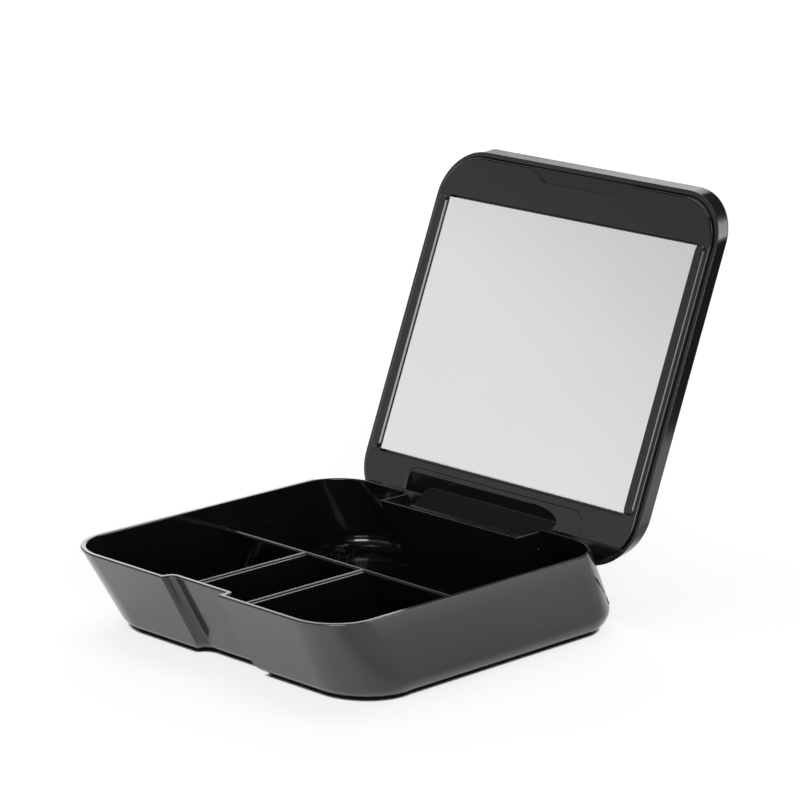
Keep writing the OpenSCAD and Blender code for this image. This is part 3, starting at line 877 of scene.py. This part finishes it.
def build_floor():
    """Paper floor, plain white for the light that it throws on the object.

    What is seen of it is whiter, with the lamps' shadow kept and a contact shadow painted in.
    The gloss of the walls shows it with a deeper painted contact shadow and with painted shade beside the
    object's right side.
    """
    floor = box("floor", (-FLOOR_HALF, -FLOOR_HALF, -FLOOR_DEEP), (FLOOR_HALF, FLOOR_HALF, 0))
    paper = bpy.data.materials.new("paper")
    paper.use_nodes = True
    paper.node_tree.nodes.clear()
    n = Tree(paper.node_tree)
    ray = n.add("LightPath").outputs
    seen_or_mirrored = n.math("MAXIMUM", ray["Is Camera Ray"], ray["Is Glossy Ray"])
    direct = n.math("MAXIMUM", seen_or_mirrored, ray["Is Transmission Ray"])
    # Painted contact shadow: the paper darkens and its glow fades with the ambient occlusion near the box
    crease = n.add("AmbientOcclusion", {"Distance": CONTACT_REACH}, samples=8)
    contact = n.ranged(crease.outputs["AO"], *CONTACT_OPEN, 0.0, 1.0)

    def contact_shaded(lowest, highest):
        """Diffuse paper painted darkest where the box nearly touches the floor: a painted contact shadow."""
        return n.add("BsdfDiffuse", {"Color": n.ranged(contact, 0.0, 1.0, lowest, highest)}).outputs[0]

    def glowing(level):
        """White glow of this level that fades out where the box nearly touches the floor, as painted contact
        shadow.
        """
        strength = n.math("MULTIPLY", contact, level)
        return n.add("Emission", {"Color": grey(1.0), "Strength": strength}).outputs[0]

    plain = n.add("BsdfDiffuse", {"Color": grey(PAPER_WHITE)}).outputs[0]
    seen = n.added_shader(contact_shaded(*SEEN_SHADE), glowing(SEEN_GLOW))
    # Painted shade: the floor as mirrored glows less on a band beside the object's right side
    outwards = n.ranged(n.axes("Object")["X"], RIGHT_SIDE, RIGHT_FAR, 0.0, 1.0)
    mirrored = n.added_shader(contact_shaded(*MIRRORED_SHADE), glowing(n.ramp(outwards, FLOOR_GLOW)))
    shown = n.mixed_shader(ray["Is Glossy Ray"], seen, mirrored)
    n.add("OutputMaterial", {"Surface": n.mixed_shader(direct, plain, shown)})
    floor.data.materials.append(paper)


def build_world():
    """Pale studio that darkens overhead. The camera sees it as a plain pale backdrop."""
    world = bpy.data.worlds.new("studio")
    bpy.context.scene.world = world
    world.use_nodes = True
    world.node_tree.nodes.clear()
    n = Tree(world.node_tree)
    way = n.axes("Generated")
    behind = n.ranged(way["Y"], -SKY_BLEND, SKY_BLEND, 0.0, 1.0)
    studio = n.mixed(behind, n.ramp(way["Z"], FRONT_SKY), n.ramp(way["Z"], BACK_SKY))
    dim = n.ranged(n.math("ADD", way["X"], way["Z"]), DIM_FROM, DIM_TO, 1.0, DIM_LEVEL)
    lit = n.add("Background", {"Color": studio, "Strength": dim}).outputs[0]
    seen = n.add("Background", {"Color": grey(BACKDROP_WHITE)}).outputs[0]
    camera_ray = n.add("LightPath").outputs["Is Camera Ray"]
    n.add("OutputWorld", {"Surface": n.mixed_shader(camera_ray, lit, seen)})


def softbox(name, direction, distance, size, radiance):
    """A rectangular lamp that looks at the object from a direction."""
    light = bpy.data.lights.new(name, "AREA")
    light.shape = "RECTANGLE"
    light.size, light.size_y = size
    light.energy = radiance * math.pi * size[0] * size[1]
    obj = bpy.data.objects.new(name, light)
    bpy.context.scene.collection.objects.link(obj)
    way = np.array(direction) / np.linalg.norm(direction)
    obj.location = Vector(way * distance) + Vector((0, 0, AIM_Z))
    obj.rotation_euler = Vector(way).to_track_quat("Z", "Y").to_euler()
    obj.visible_camera = False
    return obj


def build_lamps():
    softbox("back_box", (-0.65, 0.66, 0.58), distance=2.3, size=(1.7, 0.8), radiance=1.7)
    softbox("top_box", (-0.12, 0.05, 1.0), distance=2.3, size=(2.0, 2.0), radiance=1.6)
    softbox("rim_box", (-0.69, 0.71, 0.18), distance=2.3, size=(2.0, 0.62), radiance=2.5)
    softbox("front_box", (0.738, -0.62, 0.265), distance=2.1, size=(1.1, 0.8), radiance=8.5)
    rear_box = softbox("rear_box", (0.70, 0.62, 0.42), distance=2.3, size=(0.9, 1.7), radiance=5.0)
    rear_box.visible_diffuse = False


def build_card():
    """A black card beside the set, seen only in the gloss of the lid's side."""
    card = box("black_card", CARD_LOW, CARD_HIGH)
    card.location = (0.27, 0.27, 0)
    card.rotation_euler = (0, 0, math.radians(-45))
    black = bpy.data.materials.new("card_black")
    black.use_nodes = True
    black.node_tree.nodes["Principled BSDF"].inputs["Base Color"].default_value = grey(0.01)
    card.data.materials.append(black)
    for ray in ("camera", "diffuse", "shadow", "transmission"):
        setattr(card, "visible_" + ray, False)


def build_camera():
    """The photo's view, as fitted to its edges."""
    data = bpy.data.cameras.new("camera")
    data.sensor_width = 36.0
    data.lens = 162.222
    data.clip_start = 0.05
    data.clip_end = 50.0
    camera = bpy.data.objects.new("camera", data)
    camera.location = (1.126171, -1.142987, 0.517860)
    camera.rotation_euler = tuple(math.radians(a) for a in (75.6427286, -0.7638474, 44.3315961))
    bpy.context.scene.collection.objects.link(camera)
    bpy.context.scene.camera = camera
    bpy.context.scene.view_settings.view_transform = "Standard"


build_floor()
build_world()
build_lamps()
build_card()
build_camera()
